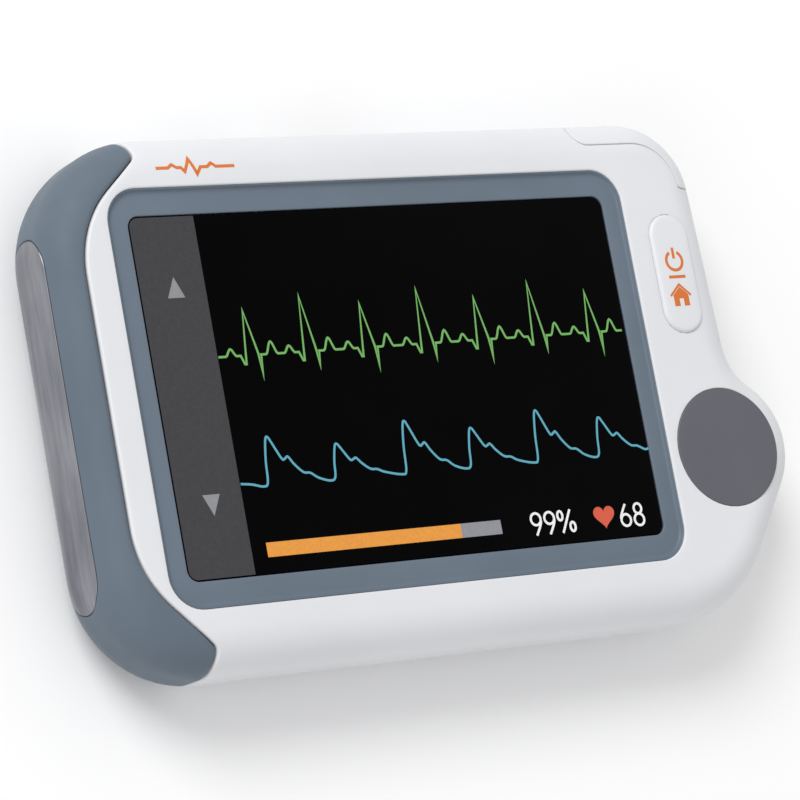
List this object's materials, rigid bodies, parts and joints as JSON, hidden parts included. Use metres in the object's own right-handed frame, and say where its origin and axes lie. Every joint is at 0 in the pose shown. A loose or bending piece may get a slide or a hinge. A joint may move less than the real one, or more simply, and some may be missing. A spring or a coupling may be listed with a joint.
{
  "type": "handheld patient monitor",
  "caption": "Pocket vital-signs monitor: white two-shell case with a touch screen, soft grip, steel electrodes, a home key and a sprung fingertip clip.",
  "frame": {"origin": "centre of the flat back face that the monitor lies on, in the middle of its length and its height", "axes": "+X towards the thumb electrode at the right end, +Y towards the top edge with the finger clip, +Z out of the screen"},
  "size_m": [0.088, 0.056, 0.013],
  "materials": {
    "case_white": "satin moulded",
    "grip_grey": "soft-touch",
    "bezel_grey": "satin moulded",
    "electrode_steel": "satin",
    "thumb_grey": "fine satin",
    "cover_glass": "polished",
    "display": "smooth",
    "diffuser": "smooth",
    "inner_plastic": "moulded",
    "holder_plastic": "moulded",
    "film": "polyimide film",
    "board": "solder mask",
    "chip": "moulded",
    "plain_steel": "bright",
    "copper_alloy": "plated",
    "ceramic": "fired",
    "foil": "foil",
    "foam": "foam",
    "wire_cover": "flexible",
    "silicone": "matt",
    "window_red": "clear tinted",
    "label": "blank foil"
  },
  "bodies": {
    "case": {"front_housing": "case_white", "rear_housing": "case_white", "grip_bumper": "grip_grey", "palm_electrode": "electrode_steel", "screen_bezel": "bezel_grey", "touch_glass": "cover_glass", "lcd_gasket": "foam", "lcd_panel": "display", "lcd_backlight": "diffuser", "lcd_holder": "holder_plastic", "lcd_flex": "film", "switch_body": "inner_plastic", "thumb_electrode": "thumb_grey", "thumb_contact": "copper_alloy", "back_electrode": "electrode_steel", "back_contact": "copper_alloy", "palm_contact": "copper_alloy", "main_board": "board", "shield_can": "plain_steel", "board_chips": "chip", "radio_antenna": "ceramic", "battery_pouch": "foil", "battery_pad": "foam", "battery_leads": "wire_cover", "speaker_driver": "inner_plastic", "speaker_mesh": "foam", "speaker_leads": "wire_cover", "data_socket": "plain_steel", "socket_contacts": "inner_plastic", "strap_bar": "plain_steel", "case_screws": "plain_steel", "rating_label": "label", "hinge_pin": "plain_steel", "hinge_spring": "plain_steel", "finger_liner": "silicone", "detector_window": "window_red", "sensor_flex": "film"},
    "home_key": {"home_key": "case_white", "switch_plunger": "inner_plastic"},
    "finger_clip": {"sensor_flap": "case_white", "flap_pad": "silicone", "emitter_window": "window_red"}
  },
  "joints": [
    {"name": "home_key_press", "type": "slide", "parent": "case", "child": "home_key", "axis": [0, 0, -1], "range_m": [0, 0.0004], "stiffness_N_per_m": 2500, "springref_m": -0.0002},
    {"name": "finger_clip_hinge", "type": "hinge", "parent": "case", "child": "finger_clip", "pos_m": [0.0234, 0.0265, 0.0067], "axis": [0, 0, 1], "range_deg": [0, 30], "stiffness_Nm_per_rad": 0.012, "springref_deg": -11.46}
  ]
}
